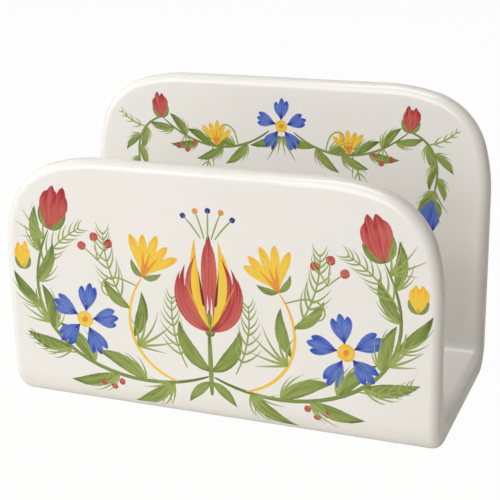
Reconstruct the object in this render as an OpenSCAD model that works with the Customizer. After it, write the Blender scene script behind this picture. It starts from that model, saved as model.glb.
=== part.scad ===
// Table napkin holder in glazed earthenware: two upright slabs joined by a base slab,
// open at the top and at both ends. Every free edge is rolled to a full round.
// The origin is the middle of the footprint on the table. +X runs along the napkins,
// +Y points to the taller back wall and +Z up.

/* [Body] */
// Overall width from end to end
holder_w = 160; // [140:1:180]
// Overall depth over both walls
holder_d = 82; // [62:1:110]
// Height of the front wall
front_h = 93; // [82:1:108]
// Height of the back wall
back_h = 110; // [90:1:140]

/* [Slab] */
// Thickness of the rolled clay slab that both walls and the base are cut from
slab_t = 8.8; // [6:0.2:12]
// Radius of the cove that the seam coils leave along the floor
cove_r = 3; // [1.5:0.5:5]

/* [Top corners] */
// Radius of the slow arc at each end of a top corner
lead_r = 66; // [50:1:76]
// Radius of the tight arc in the middle of a top corner
corner_r = 27; // [14:1:40]

/* [Foot] */
// Width of the flat rim under the base that stands on the table
foot_w = 7; // [4:0.5:12]
// Height of the hollow inside that rim
foot_lift = 1.2; // [0.6:0.1:2.4]
// Corner radius of the hollow
foot_corner_r = 9; // [4:1:14]

/* [Hidden] */
$fn = 96;
quarter_turn = 90;
glaze_white = [0.93, 0.92, 0.89];
// A free edge is rounded over the whole thickness of the slab
rim_r = slab_t / 2;
// The slab bends under each wall about a line along X
bend_r = slab_t + cove_r;
bend_y = holder_d / 2 - bend_r;
// Width over which the slab has its full thickness
full_w = holder_w - 2 * rim_r;
// Direction, from the arcs' centres, in which a slow arc hands over to the tight one
joint_shares = [0.96, 0.28];
// Distance from the sharp corner to where the top edge starts to turn
corner_leg = lead_r - (lead_r - corner_r) * (joint_shares[0] - joint_shares[1]);
straight_top_w = holder_w - 2 * corner_leg;

// Section across the whole slab, rounded at both ends
module slab_section() {
    square([full_w, slab_t], center = true);
    for (side = [0, 1])
        mirror([side, 0]) translate([full_w / 2, 0]) bead_section();
}

// Half-round section of a rim, with its flat side on the Y axis
module bead_section() {
    intersection() {
        circle(r = rim_r);
        translate([0, -rim_r]) square([rim_r, slab_t]);
    }
}

// Straight rolled rim along +Y, rounded towards +X
module straight_rim(length) {
    rotate([-90, 0, 0]) linear_extrude(height = length) bead_section();
}

// Wedge about the origin between two directions
module wedge(from, to) {
    polygon([[0, 0], holder_w * from, holder_w * to]);
}

// Rolled rim along an arc about the Z axis, rounded outwards
module arc_rim(radius, from, to) {
    intersection() {
        rotate_extrude() translate([radius - rim_r, 0]) bead_section();
        linear_extrude(height = slab_t, center = true) wedge(from, to);
    }
}

// Pie slice of the flat slab inside an arc
module pie(radius, from, to) {
    intersection() {
        circle(r = radius - rim_r);
        wedge(from, to);
    }
}

// Places a child at each arc of the top corner on the +X side and gives it that arc's
// radius and the directions of its two ends
module at_corner_arcs(height) {
    shift = (lead_r - corner_r) * joint_shares[1];
    top_x = straight_top_w / 2;
    side_z = height - corner_leg;
    arcs = [
        [top_x, height - lead_r, lead_r, [joint_shares[1], joint_shares[0]], [0, 1]],
        [top_x + shift, side_z + shift, corner_r, joint_shares,
            [joint_shares[1], joint_shares[0]]],
        [holder_w / 2 - lead_r, side_z, lead_r, [1, 0], joint_shares]
    ];
    for (arc = arcs) {
        $radius = arc[2];
        $from = arc[3];
        $to = arc[4];
        translate([arc[0], arc[1]]) children();
    }
}

// Outline of a wall where the slab has its full thickness, above the bend
module wall_face(height) {
    translate([-full_w / 2, bend_r]) square([full_w, height - corner_leg - bend_r]);
    translate([-straight_top_w / 2, bend_r])
        square([straight_top_w, height - rim_r - bend_r]);
    for (side = [0, 1])
        mirror([side, 0]) at_corner_arcs(height) pie($radius, $from, $to);
}

// Rolled rims of one end of a wall, on the +X side, with half of the top edge
module wall_rims(height) {
    translate([full_w / 2, bend_r]) straight_rim(height - corner_leg - bend_r);
    at_corner_arcs(height) arc_rim($radius, $from, $to);
    translate([0, height - rim_r]) mirror([1, -1, 0]) straight_rim(straight_top_w / 2);
}

// Upright slab above the bend, with its mid-plane on y = 0
module wall_plate(height) {
    rotate([90, 0, 0]) {
        linear_extrude(height = slab_t, center = true) wall_face(height);
        for (side = [0, 1])
            mirror([side, 0, 0]) wall_rims(height);
    }
}

// Rolled rim round the bend at the +X end: start is the angle below the wall
module bend_end(start, turn) {
    rotate([0, 90, 0])
        rotate([0, 0, start - quarter_turn])
            rotate_extrude(angle = turn)
                translate([cove_r + rim_r, full_w / 2]) rotate(quarter_turn) bead_section();
}

// Section of the bend's full width, cut from the round by a polygon about the bend line
module bend_body(cut) {
    rotate([90, 0, 90])
        linear_extrude(height = full_w, center = true)
            intersection() {
                circle(r = bend_r);
                polygon(cut);
            }
}

// Half of the front bend that belongs to the wall, down to the mitre
module wall_bend() {
    bend_body([[-cove_r, 0], [-cove_r, -cove_r], [-bend_r, -bend_r], [-bend_r, 0]]);
    bend_end(0, quarter_turn / 2);
    mirror([1, 0, 0]) bend_end(0, quarter_turn / 2);
}

// Half of the front bend that belongs to the base, up to the mitre
module base_bend() {
    bend_body([[0, -cove_r], [-cove_r, -cove_r], [-bend_r, -bend_r], [0, -bend_r]]);
    bend_end(quarter_turn / 2, quarter_turn / 2);
    mirror([1, 0, 0]) bend_end(quarter_turn / 2, quarter_turn / 2);
}

// One wall with its share of the bend, on the front side
module front_side_wall(height) {
    translate([0, rim_r - holder_d / 2, 0]) wall_plate(height);
    translate([0, -bend_y, bend_r]) wall_bend();
}

// Coil pressed into the front seam, smoothed to a cove
module front_side_coil() {
    translate([0, -bend_y, bend_r])
        rotate([90, 0, 90])
            linear_extrude(height = full_w, center = true)
                difference() {
                    translate([-cove_r, -cove_r]) square(cove_r);
                    circle(r = cove_r);
                }
}

// Shallow hollow under the base with rounded corners
module foot_hollow() {
    half_x = full_w / 2 - foot_w - foot_corner_r;
    half_y = bend_y - foot_w - foot_corner_r;
    translate([0, 0, -foot_lift])
        linear_extrude(height = 2 * foot_lift) {
            square([2 * (half_x + foot_corner_r), 2 * half_y], center = true);
            square([2 * half_x, 2 * (half_y + foot_corner_r)], center = true);
            for (sx = [-1, 1], sy = [-1, 1])
                translate([sx * half_x, sy * half_y]) circle(r = foot_corner_r);
        }
}

module front_wall() {
    color(glaze_white) front_side_wall(front_h);
}

module back_wall() {
    color(glaze_white) mirror([0, 1, 0]) front_side_wall(back_h);
}

module base_slab() {
    color(glaze_white)
        difference() {
            union() {
                translate([0, 0, rim_r])
                    rotate([90, 0, 0]) linear_extrude(height = 2 * bend_y, center = true) slab_section();
                for (side = [0, 1])
                    mirror([0, side, 0]) translate([0, -bend_y, bend_r]) base_bend();
            }
            foot_hollow();
        }
}

module front_seam_coil() {
    color(glaze_white) front_side_coil();
}

module back_seam_coil() {
    color(glaze_white) mirror([0, 1, 0]) front_side_coil();
}

front_wall();
back_wall();
base_slab();
front_seam_coil();
back_seam_coil();
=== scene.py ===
"""Looks of a glazed and painted table napkin holder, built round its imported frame.

Everything is in metres in the frame's own axes: +X runs along the napkins, +Y points to
the taller back wall and +Z up. The clay sheet is drawn here as fine closed meshes with
rounded edges, and the decoration as brush strokes of colour that lie on the glaze.
"""

import logging
import math
import random
from collections.abc import Iterable, Sequence
from dataclasses import dataclass, field
from enum import Enum

import bmesh
import bpy
from mathutils import Matrix, Vector, noise

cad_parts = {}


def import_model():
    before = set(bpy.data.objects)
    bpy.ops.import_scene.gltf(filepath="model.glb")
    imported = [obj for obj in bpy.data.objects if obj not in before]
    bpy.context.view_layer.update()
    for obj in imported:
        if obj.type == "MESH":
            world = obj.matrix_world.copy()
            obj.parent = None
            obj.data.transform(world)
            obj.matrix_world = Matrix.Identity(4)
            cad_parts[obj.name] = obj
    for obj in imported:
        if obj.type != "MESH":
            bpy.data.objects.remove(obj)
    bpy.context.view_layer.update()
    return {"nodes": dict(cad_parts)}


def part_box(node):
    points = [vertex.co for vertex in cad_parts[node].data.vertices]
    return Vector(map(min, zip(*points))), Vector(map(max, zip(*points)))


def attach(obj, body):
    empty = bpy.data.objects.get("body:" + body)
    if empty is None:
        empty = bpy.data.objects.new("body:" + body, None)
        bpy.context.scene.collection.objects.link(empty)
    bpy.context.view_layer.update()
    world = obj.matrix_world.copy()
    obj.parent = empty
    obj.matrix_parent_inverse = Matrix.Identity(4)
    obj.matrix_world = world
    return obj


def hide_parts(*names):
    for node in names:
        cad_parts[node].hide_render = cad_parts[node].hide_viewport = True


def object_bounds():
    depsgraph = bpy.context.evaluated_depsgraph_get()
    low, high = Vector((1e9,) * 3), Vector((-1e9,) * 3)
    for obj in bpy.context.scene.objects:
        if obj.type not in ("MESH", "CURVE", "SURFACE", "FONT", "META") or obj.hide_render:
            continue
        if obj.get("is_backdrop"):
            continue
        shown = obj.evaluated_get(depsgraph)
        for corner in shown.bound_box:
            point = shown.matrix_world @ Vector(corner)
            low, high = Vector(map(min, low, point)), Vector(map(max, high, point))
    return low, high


log = logging.getLogger("napkin_holder")

BODY = "root"
MM = 0.001
UP = Vector((0, 0, 1))
QUARTER = math.pi / 2

Point = tuple[float, float]
Span = tuple[float, float]
Colour = tuple[float, float, float, float]
Socket = bpy.types.NodeSocket


def paint_colour(red: int, green: int, blue: int) -> Colour:
    """Turns a screen colour into the linear one that the shaders use.

    Args:
        red: Red from 0 to 255.
        green: Green from 0 to 255.
        blue: Blue from 0 to 255.

    Returns:
        The linear colour with full alpha.
    """
    def linear(value: int) -> float:
        """One channel, by the sRGB curve."""
        share = value / 255
        return share / 12.92 if share <= 0.04045 else ((share + 0.055) / 1.055) ** 2.4

    return (linear(red), linear(green), linear(blue), 1.0)


def evenly(start: float, end: float, steps: int) -> list[float]:
    """Even steps from start to end, with both ends."""
    return [start + (end - start) * step / steps for step in range(steps + 1)]


def eased(step: float, steps: float = 1.0) -> float:
    """Share of the way after some of a number of steps, slow at both ends."""
    return 0.5 - 0.5 * math.cos(math.pi * step / steps)


def put_in_scene(name: str, data: bpy.types.ID) -> bpy.types.Object:
    """Makes an object at the origin and links it to the scene.

    Args:
        name: The object's name.
        data: Its mesh, curve, lamp or camera.

    Returns:
        The object.
    """
    thing = bpy.data.objects.new(name, data)
    bpy.context.scene.collection.objects.link(thing)
    return thing


def shade(mesh: bpy.types.Mesh, normals: list[Vector]) -> None:
    """Shades a mesh smoothly, with a given normal at each point."""
    mesh.polygons.foreach_set("use_smooth", [True] * len(mesh.polygons))
    mesh.normals_split_custom_set_from_vertices(normals)


class NodeSheet:
    """Short calls that place and join the nodes of one tree."""

    def __init__(self, tree: bpy.types.NodeTree) -> None:
        """Takes the tree that the nodes go into."""
        self.tree = tree

    @classmethod
    def emptied(cls, owner: bpy.types.ID) -> "NodeSheet":
        """Clears the nodes of a material or a world.

        Args:
            owner: The material or world.

        Returns:
            Its empty sheet.
        """
        owner.use_nodes = True
        owner.node_tree.nodes.clear()
        return cls(owner.node_tree)

    def feed(self, socket: Socket, value: object) -> None:
        """Joins a socket to another one, or sets its plain value.

        Args:
            socket: The socket that is fed.
            value: The other socket or the value.
        """
        if isinstance(value, Socket):
            self.tree.links.new(value, socket)
        else:
            socket.default_value = value

    def add(self, kind: str, feeds: dict | None = None, **settings: object) -> bpy.types.Node:
        """Places a node.

        Args:
            kind: The node's type name.
            feeds: What goes into its inputs, by name or by number.
            settings: The node's own properties.

        Returns:
            The new node.
        """
        node = self.tree.nodes.new(kind)
        for name, value in settings.items():
            setattr(node, name, value)
        for name, value in (feeds or {}).items():
            self.feed(node.inputs[name], value)
        return node

    def maths(self, operation: str, *values: object, clamp: bool = False) -> Socket:
        """Result of a Math node on up to three values, held between 0 and 1 if clamped."""
        return self.add("ShaderNodeMath", dict(enumerate(values)), operation=operation,
                        use_clamp=clamp).outputs[0]

    def plus(self, first: object, second: object, clamp: bool = False) -> Socket:
        """The sum of two values."""
        return self.maths("ADD", first, second, clamp=clamp)

    def minus(self, first: object, second: object) -> Socket:
        """The difference of two values."""
        return self.maths("SUBTRACT", first, second)

    def times(self, first: object, second: object) -> Socket:
        """The product of two values."""
        return self.maths("MULTIPLY", first, second)

    def times_plus(self, first: object, second: object, more: object) -> Socket:
        """The product of two values and a third one added to it."""
        return self.maths("MULTIPLY_ADD", first, second, more)

    def larger(self, first: object, second: object) -> Socket:
        """The larger one of two values."""
        return self.maths("MAXIMUM", first, second)

    def vector(self, operation: str, *values: object) -> Socket:
        """Vector result of a Vector Math node on two vectors."""
        return self.add("ShaderNodeVectorMath", dict(enumerate(values)), operation=operation).outputs[0]

    def scaled(self, way: object, scale: object) -> Socket:
        """A vector times a number."""
        return self.add("ShaderNodeVectorMath", {0: way, "Scale": scale}, operation="SCALE").outputs[0]

    def combine(self, x: object, y: object, z: object) -> Socket:
        """A vector from three values."""
        return self.add("ShaderNodeCombineXYZ", {"X": x, "Y": y, "Z": z}).outputs[0]

    def split(self, way: Socket) -> bpy.types.NodeOutputs:
        """A vector's parts, by the names X, Y and Z."""
        return self.add("ShaderNodeSeparateXYZ", {0: way}).outputs

    def ease(self, value: object, start: float, end: float) -> Socket:
        """A value that grows smoothly from 0 at start to 1 at end."""
        feeds = {"Value": value, "From Min": start, "From Max": end}
        return self.add("ShaderNodeMapRange", feeds, interpolation_type="SMOOTHSTEP").outputs["Result"]

    def blend(self, share: object, first: object, second: object) -> Socket:
        """A colour between two others."""
        return self.add("ShaderNodeMix", {0: share, 6: first, 7: second}, data_type="RGBA").outputs[2]

    def cloud(self, place: object, scale: float, detail: float = 2.0) -> Socket:
        """Soft noise from 0 to 1 at a place."""
        return self.add("ShaderNodeTexNoise", {"Vector": place, "Scale": scale, "Detail": detail}).outputs[0]

    def object_place(self) -> Socket:
        """Where a point lies in its own object."""
        return self.add("ShaderNodeTexCoord").outputs["Object"]

    def carried(self, name: str) -> Socket:
        """A value that the mesh carries under a name."""
        return self.add("ShaderNodeAttribute", attribute_name=name).outputs["Fac"]

    def keep(self, geometry: Socket, domain: str, *values: tuple[str, Socket]) -> list[Socket]:
        """Keeps values as they are on a geometry before it changes.

        Args:
            geometry: The geometry.
            domain: Whether they belong to its points or its curves.
            values: The kind and the source of each value.

        Returns:
            The geometry and the kept values.
        """
        node = self.add("GeometryNodeCaptureAttribute", {0: geometry}, domain=domain)
        for number, (kind, _) in enumerate(values, start=1):
            node.capture_items.new(kind, f"Kept {number}")
        for number, (_, value) in enumerate(values, start=1):
            self.feed(node.inputs[number], value)
        return node.outputs[:len(values) + 1]

    def store(self, geometry: Socket, name: str, kind: str, domain: str, value: Socket) -> Socket:
        """The mesh with a named value on its points or on the corners of its faces."""
        feeds = {"Geometry": geometry, "Name": name, "Value": value}
        return self.add("GeometryNodeStoreNamedAttribute", feeds, data_type=kind, domain=domain).outputs[0]


def open_group(name: str, kind: str, inputs: dict[str, object],
               outputs: dict[str, object]) -> tuple[NodeSheet, bpy.types.NodeOutputs]:
    """Starts a node group.

    Args:
        name: The group's name.
        kind: The type of its tree.
        inputs: For each label a number as its default, or a socket type.
        outputs: The same for what the group puts out.

    Returns:
        The sheet of the new tree and what it is given, by label.
    """
    tree = bpy.data.node_groups.new(name, kind)
    for direction, sockets in (("INPUT", inputs), ("OUTPUT", outputs)):
        for label, given in sockets.items():
            if isinstance(given, str):
                tree.interface.new_socket(label, in_out=direction, socket_type=given)
            else:
                socket_type = "NodeSocketInt" if isinstance(given, int) else "NodeSocketFloat"
                socket = tree.interface.new_socket(label, in_out=direction, socket_type=socket_type)
                socket.default_value = given
    sheet = NodeSheet(tree)
    return sheet, sheet.add("NodeGroupInput").outputs


@dataclass(frozen=True)
class PressedSurface:
    """Slow unevenness of hand-pressed clay, always far enough inside its true faces for paint."""

    depth: float = 0.24 * MM
    least_share: float = 0.5
    wave: float = 34 * MM
    probe: float = 0.5 * MM
    foot_height: float = 7 * MM

    def fall(self, place: Vector) -> float:
        """Finds how far the surface lies inside the true face.

        Args:
            place: The point on the true face.

        Returns:
            The distance as a negative number.
        """
        level = self.least_share + (1 - self.least_share) * (0.5 + 0.5 * noise.noise(place / self.wave))
        rise = min(max(place.z / self.foot_height, 0.0), 1.0)
        return -self.depth * level * rise * rise * (3 - 2 * rise)

    def settle(self, place: Vector, normal: Vector) -> tuple[Vector, Vector]:
        """Moves a point of a true face to the uneven one.

        Args:
            place: The point on the true face.
            normal: The true face's normal there.

        Returns:
            The point and the normal of the uneven face.
        """
        here = self.fall(place)
        slope = Vector()
        for axis in range(3):
            step = Vector()
            step[axis] = self.probe
            slope[axis] = (self.fall(place + step) - here) / self.probe
        slope -= normal * slope.dot(normal)
        return place + normal * here, (normal - slope).normalized()


@dataclass
class MeshDraft:
    """Points, normals and faces of a mesh while it is drawn."""

    points: list[Vector] = field(default_factory=list)
    normals: list[Vector] = field(default_factory=list)
    edge_shares: list[float] = field(default_factory=list)
    faces: list[tuple[int, ...]] = field(default_factory=list)

    def point(self, place: Vector, normal: Vector, edge_share: float = 0.0) -> int:
        """Adds a point.

        Args:
            place: Where it is.
            normal: The face's normal there.
            edge_share: How far round a free edge it lies, from 0 on a face to 1 on the end.

        Returns:
            Its number.
        """
        self.points.append(place)
        self.normals.append(normal)
        self.edge_shares.append(edge_share)
        return len(self.points) - 1

    def face(self, corners: Sequence[int], facing: Vector | None = None) -> None:
        """Adds a face.

        Args:
            corners: The numbers of its points, in order round it.
            facing: The way it faces, if not the way that its points' normals do.
        """
        if facing is None:
            facing = sum((self.normals[corner] for corner in corners), Vector())
        area = Vector()
        for first, second in zip(corners, [*corners[1:], corners[0]]):
            area += self.points[first].cross(self.points[second])
        self.faces.append(tuple(corners if area.dot(facing) >= 0 else reversed(corners)))

    def strip(self, first: Sequence[int], second: Sequence[int], closed: bool = False,
              facing: Vector | None = None) -> None:
        """Joins two rows of as many points with four-cornered faces.

        Args:
            first: One row.
            second: The other row.
            closed: Whether the rows are loops.
            facing: The way the faces look, if not the way that their points' normals do.
        """
        count = len(first)
        for here in range(count if closed else count - 1):
            after = (here + 1) % count
            self.face((first[here], first[after], second[after], second[here]), facing)

    def strips(self, rows: Sequence[Sequence[int]]) -> None:
        """Joins each row to the next one."""
        for first, second in zip(rows, rows[1:]):
            self.strip(first, second)

    def build(self, name: str, surface: PressedSurface) -> bpy.types.Object:
        """Makes the object.

        Args:
            name: The piece's name.
            surface: The unevenness that the points settle to.

        Returns:
            The object, at the origin, with its normals kept.
        """
        settled = [surface.settle(*pair) for pair in zip(self.points, self.normals)]
        mesh = bpy.data.meshes.new(name)
        mesh.from_pydata([place for place, _ in settled], [], self.faces)
        shares = mesh.attributes.new("edge_share", "FLOAT", "POINT")
        shares.data.foreach_set("value", self.edge_shares)
        shade(mesh, [normal for _, normal in settled])
        mesh.update()
        return put_in_scene(name, mesh)


class Side(Enum):
    """The two walls, by the sign of their Y."""

    FRONT = -1
    BACK = 1


@dataclass(frozen=True)
class SheetSizes:
    """Main sizes of the clay sheet, read from the frame, and how its corners and edges round.

    The edges and the wide cove inside the front wall follow the photograph. The solids
    have one plain radius for each of them.
    """

    width: float
    depth: float
    thickness: float
    front_height: float
    back_height: float
    edge_radius: float = 3.7 * MM
    heel_radius: float = 11.8 * MM
    floor_rise: float = 0.6 * MM
    front_cove: tuple[float, float] = (8.5 * MM, 23 * MM)
    back_cove: tuple[float, float] = (3.5 * MM, 3.5 * MM)
    lead_radius: float = 66 * MM
    corner_radius: float = 27 * MM
    joint_shares: tuple[float, float] = (0.96, 0.28)

    @classmethod
    def from_frame(cls) -> "SheetSizes":
        """Reads the sizes from the boxes of the CAD nodes.

        Returns:
            The sizes.
        """
        low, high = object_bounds()
        wall_low, wall_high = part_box("front_wall")
        coil_low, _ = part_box("front_seam_coil")
        return cls(
            width=high.x - low.x,
            depth=high.y - low.y,
            thickness=coil_low.y - wall_low.y,
            front_height=wall_high.z,
            back_height=high.z,
        )

    @property
    def heel_y(self) -> float:
        """Distance from the middle to where the underside starts to turn up."""
        return self.depth / 2 - self.heel_radius

    @property
    def inner_y(self) -> float:
        """Distance from the middle to the inside of a wall."""
        return self.depth / 2 - self.thickness

    @property
    def floor_z(self) -> float:
        """Height of the floor between the walls."""
        return self.thickness + self.floor_rise

    def cove(self, side: Side) -> tuple[float, float]:
        """Width and height of the cove between the floor and a wall."""
        return self.front_cove if side is Side.FRONT else self.back_cove

    def cove_y(self, side: Side) -> float:
        """Y of the line where the floor starts to turn up to a wall."""
        return side.value * (self.inner_y - self.cove(side)[0])

    @property
    def half_sheet(self) -> float:
        """Distance from the middle to where an end starts to round."""
        return self.width / 2 - self.edge_radius

    @property
    def corner_leg(self) -> float:
        """Distance from the sharp corner to where the top edge starts to turn."""
        long_share, short_share = self.joint_shares
        return self.lead_radius - (self.lead_radius - self.corner_radius) * (long_share - short_share)


@dataclass(frozen=True)
class SheetRow:
    """One row from end to end of the sheet, with Y and Z of both its faces and their normals."""

    half_width: float
    outer: Point
    inner: Point
    outward: Vector
    inward: Vector
    turn: float = 0.0

    def place(self, share: float, outside: bool) -> Vector:
        """A point of a face, from -1 where the left end starts to round to 1 at the right."""
        return Vector((self.half_width * share, *(self.outer if outside else self.inner)))

    def edge_way(self, side: int) -> Vector:
        """The way out of the sheet at the left end, -1, or the right one, 1."""
        return Vector((side * math.cos(self.turn), 0, math.sin(self.turn)))


@dataclass
class ClaySheet:
    """The bent clay sheet: two walls and a base, whose free edges are rounded."""

    sizes: SheetSizes
    surface: PressedSurface
    columns: int = 76
    arc_steps: int = 9
    flat_steps: int = 3
    bend_steps: int = 12
    side_steps: int = 26
    lead_steps: int = 6
    corner_steps: int = 22
    mitre: float = math.radians(45)

    def bend_rows(self, side: Side, start: float, end: float) -> list[SheetRow]:
        """Rows round the heel outside and the cove inside.

        Args:
            side: The wall that they lead up to.
            start: The angle below the wall at which they start.
            end: The angle at which they end.

        Returns:
            The rows in order.
        """
        size = self.sizes
        run, rise = size.cove(side)
        rows = []
        for angle in evenly(start, end, self.bend_steps):
            way = Vector((0, side.value * math.cos(angle), -math.sin(angle)))
            outer = (side.value * size.heel_y + size.heel_radius * way.y,
                     size.heel_radius * (1 + way.z))
            inner = (size.cove_y(side) + run * way.y, size.floor_z + rise * (1 + way.z))
            inward = -Vector((0, way.y / run, way.z / rise)).normalized()
            rows.append(SheetRow(size.half_sheet, outer, inner, way, inward))
        return rows

    def upright_row(self, side: Side, half_width: float, outer_z: float, inner_z: float,
                    turn: float = 0.0) -> SheetRow:
        """A row of the upright part of a wall.

        Args:
            side: Which wall it is.
            half_width: Distance from its middle to where its ends start to round.
            outer_z: Its height outside.
            inner_z: Its height inside.
            turn: How far the rim leans up there, as an angle.

        Returns:
            The row.
        """
        size = self.sizes
        outward = Vector((0, side.value, 0))
        outer = (side.value * size.depth / 2, outer_z)
        return SheetRow(half_width, outer, (side.value * size.inner_y, inner_z), outward, -outward, turn)

    def corner_rows(self, side: Side, height: float) -> list[SheetRow]:
        """Rows between the two top corners, each corner a tight arc between two slow ones.

        Args:
            side: Which wall it is.
            height: The height of its top edge.

        Returns:
            The rows from the first arc's start up to the top edge.
        """
        size = self.sizes
        lean = math.asin(size.joint_shares[1])
        leg, slow, tight = size.corner_leg, size.lead_radius, size.corner_radius
        shift = (slow - tight) * size.joint_shares[1]
        half = size.width / 2
        arcs = (
            (half - slow, height - leg, slow, 0.0, lean, self.lead_steps),
            (half - leg + shift, height - leg + shift, tight, lean, QUARTER - lean, self.corner_steps),
            (half - leg, height - slow, slow, QUARTER - lean, QUARTER, self.lead_steps),
        )
        rows = []
        for centre_x, centre_z, radius, start, end, steps in arcs:
            reach = radius - size.edge_radius
            for angle in evenly(start, end, steps)[1:]:
                z = centre_z + reach * math.sin(angle)
                rows.append(self.upright_row(side, centre_x + reach * math.cos(angle), z, z, angle))
        return rows

    def wall_rows(self, side: Side, height: float) -> list[SheetRow]:
        """All rows of a wall, from the mitre under it to its top edge.

        Args:
            side: Which wall it is.
            height: The height of its top edge.

        Returns:
            The rows in order.
        """
        size = self.sizes
        top = height - size.corner_leg
        outer_zs = evenly(size.heel_radius, top, self.side_steps)
        inner_zs = evenly(size.floor_z + size.cove(side)[1], top, self.side_steps)
        straight = [self.upright_row(side, size.half_sheet, *zs) for zs in zip(outer_zs[1:], inner_zs[1:])]
        return self.bend_rows(side, self.mitre, 0.0) + straight + self.corner_rows(side, height)

    def base_rows(self) -> list[SheetRow]:
        """All rows of the base.

        Returns:
            The rows from the front mitre to the back one.
        """
        size = self.sizes
        outer_ys = evenly(-size.heel_y, size.heel_y, self.side_steps)
        inner_ys = evenly(size.cove_y(Side.FRONT), size.cove_y(Side.BACK), self.side_steps)
        flat = [
            SheetRow(size.half_sheet, (outer_y, 0.0), (inner_y, size.floor_z), -UP, UP)
            for outer_y, inner_y in zip(outer_ys, inner_ys)
        ]
        front = self.bend_rows(Side.FRONT, self.mitre, QUARTER)
        back = self.bend_rows(Side.BACK, QUARTER, self.mitre)
        return front[:-1] + flat + back[1:]

    def face_grid(self, draft: MeshDraft, rows: list[SheetRow], outside: bool) -> list[list[int]]:
        """Points of all rows on the outer or the inner face.

        Args:
            draft: The mesh that they go into.
            rows: The rows.
            outside: Whether the face is the outer one.

        Returns:
            The numbers of the points, row by row.
        """
        return [
            [draft.point(row.place(share, outside), row.outward if outside else row.inward)
             for share in evenly(-1, 1, self.columns)]
            for row in rows
        ]

    def rim_ring(self, draft: MeshDraft, row: SheetRow, share: float, edge_way: Vector,
                 ends: tuple[int, int]) -> list[int]:
        """Ring of points round a free edge, from the outer face over the flat end to the inner one.

        Args:
            draft: The mesh that it goes into.
            row: The row that it belongs to.
            share: Where on the row it is, from -1 to 1.
            edge_way: The way out of the sheet there.
            ends: The points of the outer and the inner face that it joins.

        Returns:
            The numbers of its points.
        """
        radius = self.sizes.edge_radius
        outer_centre = row.place(share, True) - row.outward * radius
        inner_centre = row.place(share, False) - row.inward * radius
        angles = evenly(0.0, QUARTER, self.arc_steps)[1:]
        path = [(outer_centre, row.outward, angle) for angle in angles]
        for step in evenly(0.0, 1.0, self.flat_steps)[1:-1]:
            path.append((outer_centre.lerp(inner_centre, step), row.outward, QUARTER))
        path += [(inner_centre, row.inward, angle) for angle in reversed(angles)]
        ring = [ends[0]]
        for centre, normal, angle in path:
            way = normal * math.cos(angle) + edge_way * math.sin(angle)
            ring.append(draft.point(centre + way * radius, way, math.sin(angle)))
        return [*ring, ends[1]]

    def end_rings(self, draft: MeshDraft, rows: list[SheetRow], outer: list[list[int]],
                  inner: list[list[int]], side: int) -> list[list[int]]:
        """Rings round an end of the sheet.

        Args:
            draft: The mesh that they go into.
            rows: The rows.
            outer: The points of the outer face, row by row.
            inner: The points of the inner face, row by row.
            side: -1 for the left end, 1 for the right one.

        Returns:
            The rings, row by row.
        """
        end = -1 if side > 0 else 0
        return [
            self.rim_ring(draft, row, side, row.edge_way(side), (outer_row[end], inner_row[end]))
            for row, outer_row, inner_row in zip(rows, outer, inner)
        ]

    def close_mitre(self, draft: MeshDraft, rows: tuple[list[int], list[int]],
                    rings: tuple[list[int], list[int]], facing: Vector) -> None:
        """Closes the sheet where it meets its neighbour at a mitre.

        Args:
            draft: The mesh that it goes into.
            rows: The last row of the outer and of the inner face.
            rings: The last ring of each end.
            facing: The way that the mitre faces.
        """
        draft.strip(*rows, facing=facing)
        for ring in rings:
            draft.face(ring, facing)

    def wall(self, side: Side, height: float, name: str) -> bpy.types.Object:
        """Makes a wall with its half of the bend and of the cove.

        Args:
            side: Which wall it is.
            height: The height of its top edge.
            name: The piece's name.

        Returns:
            The wall as one closed mesh.
        """
        draft = MeshDraft()
        rows = self.wall_rows(side, height)
        outer = self.face_grid(draft, rows, True)
        inner = self.face_grid(draft, rows, False)
        draft.strips(outer)
        draft.strips(inner)
        right = self.end_rings(draft, rows, outer, inner, 1)
        left = self.end_rings(draft, rows, outer, inner, -1)
        top = [
            self.rim_ring(draft, rows[-1], share, UP, ends)
            for share, ends in zip(evenly(-1, 1, self.columns)[1:-1], zip(outer[-1][1:-1], inner[-1][1:-1]))
        ]
        draft.strips(left + top + right[::-1])
        facing = Vector((0, -side.value * math.sin(self.mitre), -math.cos(self.mitre)))
        self.close_mitre(draft, (outer[0], inner[0]), (left[0], right[0]), facing)
        return draft.build(name, self.surface)

    def base(self, foot: "FootSizes", name: str) -> bpy.types.Object:
        """Makes the base with the bends on both sides and the hollow under it.

        Args:
            foot: The sizes of the foot rim and hollow.
            name: The piece's name.

        Returns:
            The base as one closed mesh.
        """
        draft = MeshDraft()
        rows = self.base_rows()
        inner = self.face_grid(draft, rows, False)
        outer = self.face_grid(draft, rows, True)
        first_flat, last_flat = self.bend_steps, len(rows) - 1 - self.bend_steps
        draft.strips(inner)
        draft.strips(outer[:first_flat + 1])
        draft.strips(outer[last_flat:])
        rims = []
        for side in (1, -1):
            rims.append(self.end_rings(draft, rows, outer, inner, side))
            draft.strips(rims[-1])
        for number, way in ((0, -1), (-1, 1)):
            facing = Vector((0, way * math.sin(self.mitre), math.cos(self.mitre)))
            ends = (rims[0][number], rims[1][number])
            self.close_mitre(draft, (outer[number], inner[number]), ends, facing)
        between = outer[first_flat + 1:last_flat]
        foot.under_base(draft, [
            *outer[first_flat],
            *(row[-1] for row in between),
            *reversed(outer[last_flat]),
            *(row[0] for row in reversed(between)),
        ])
        return draft.build(name, self.surface)


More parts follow.
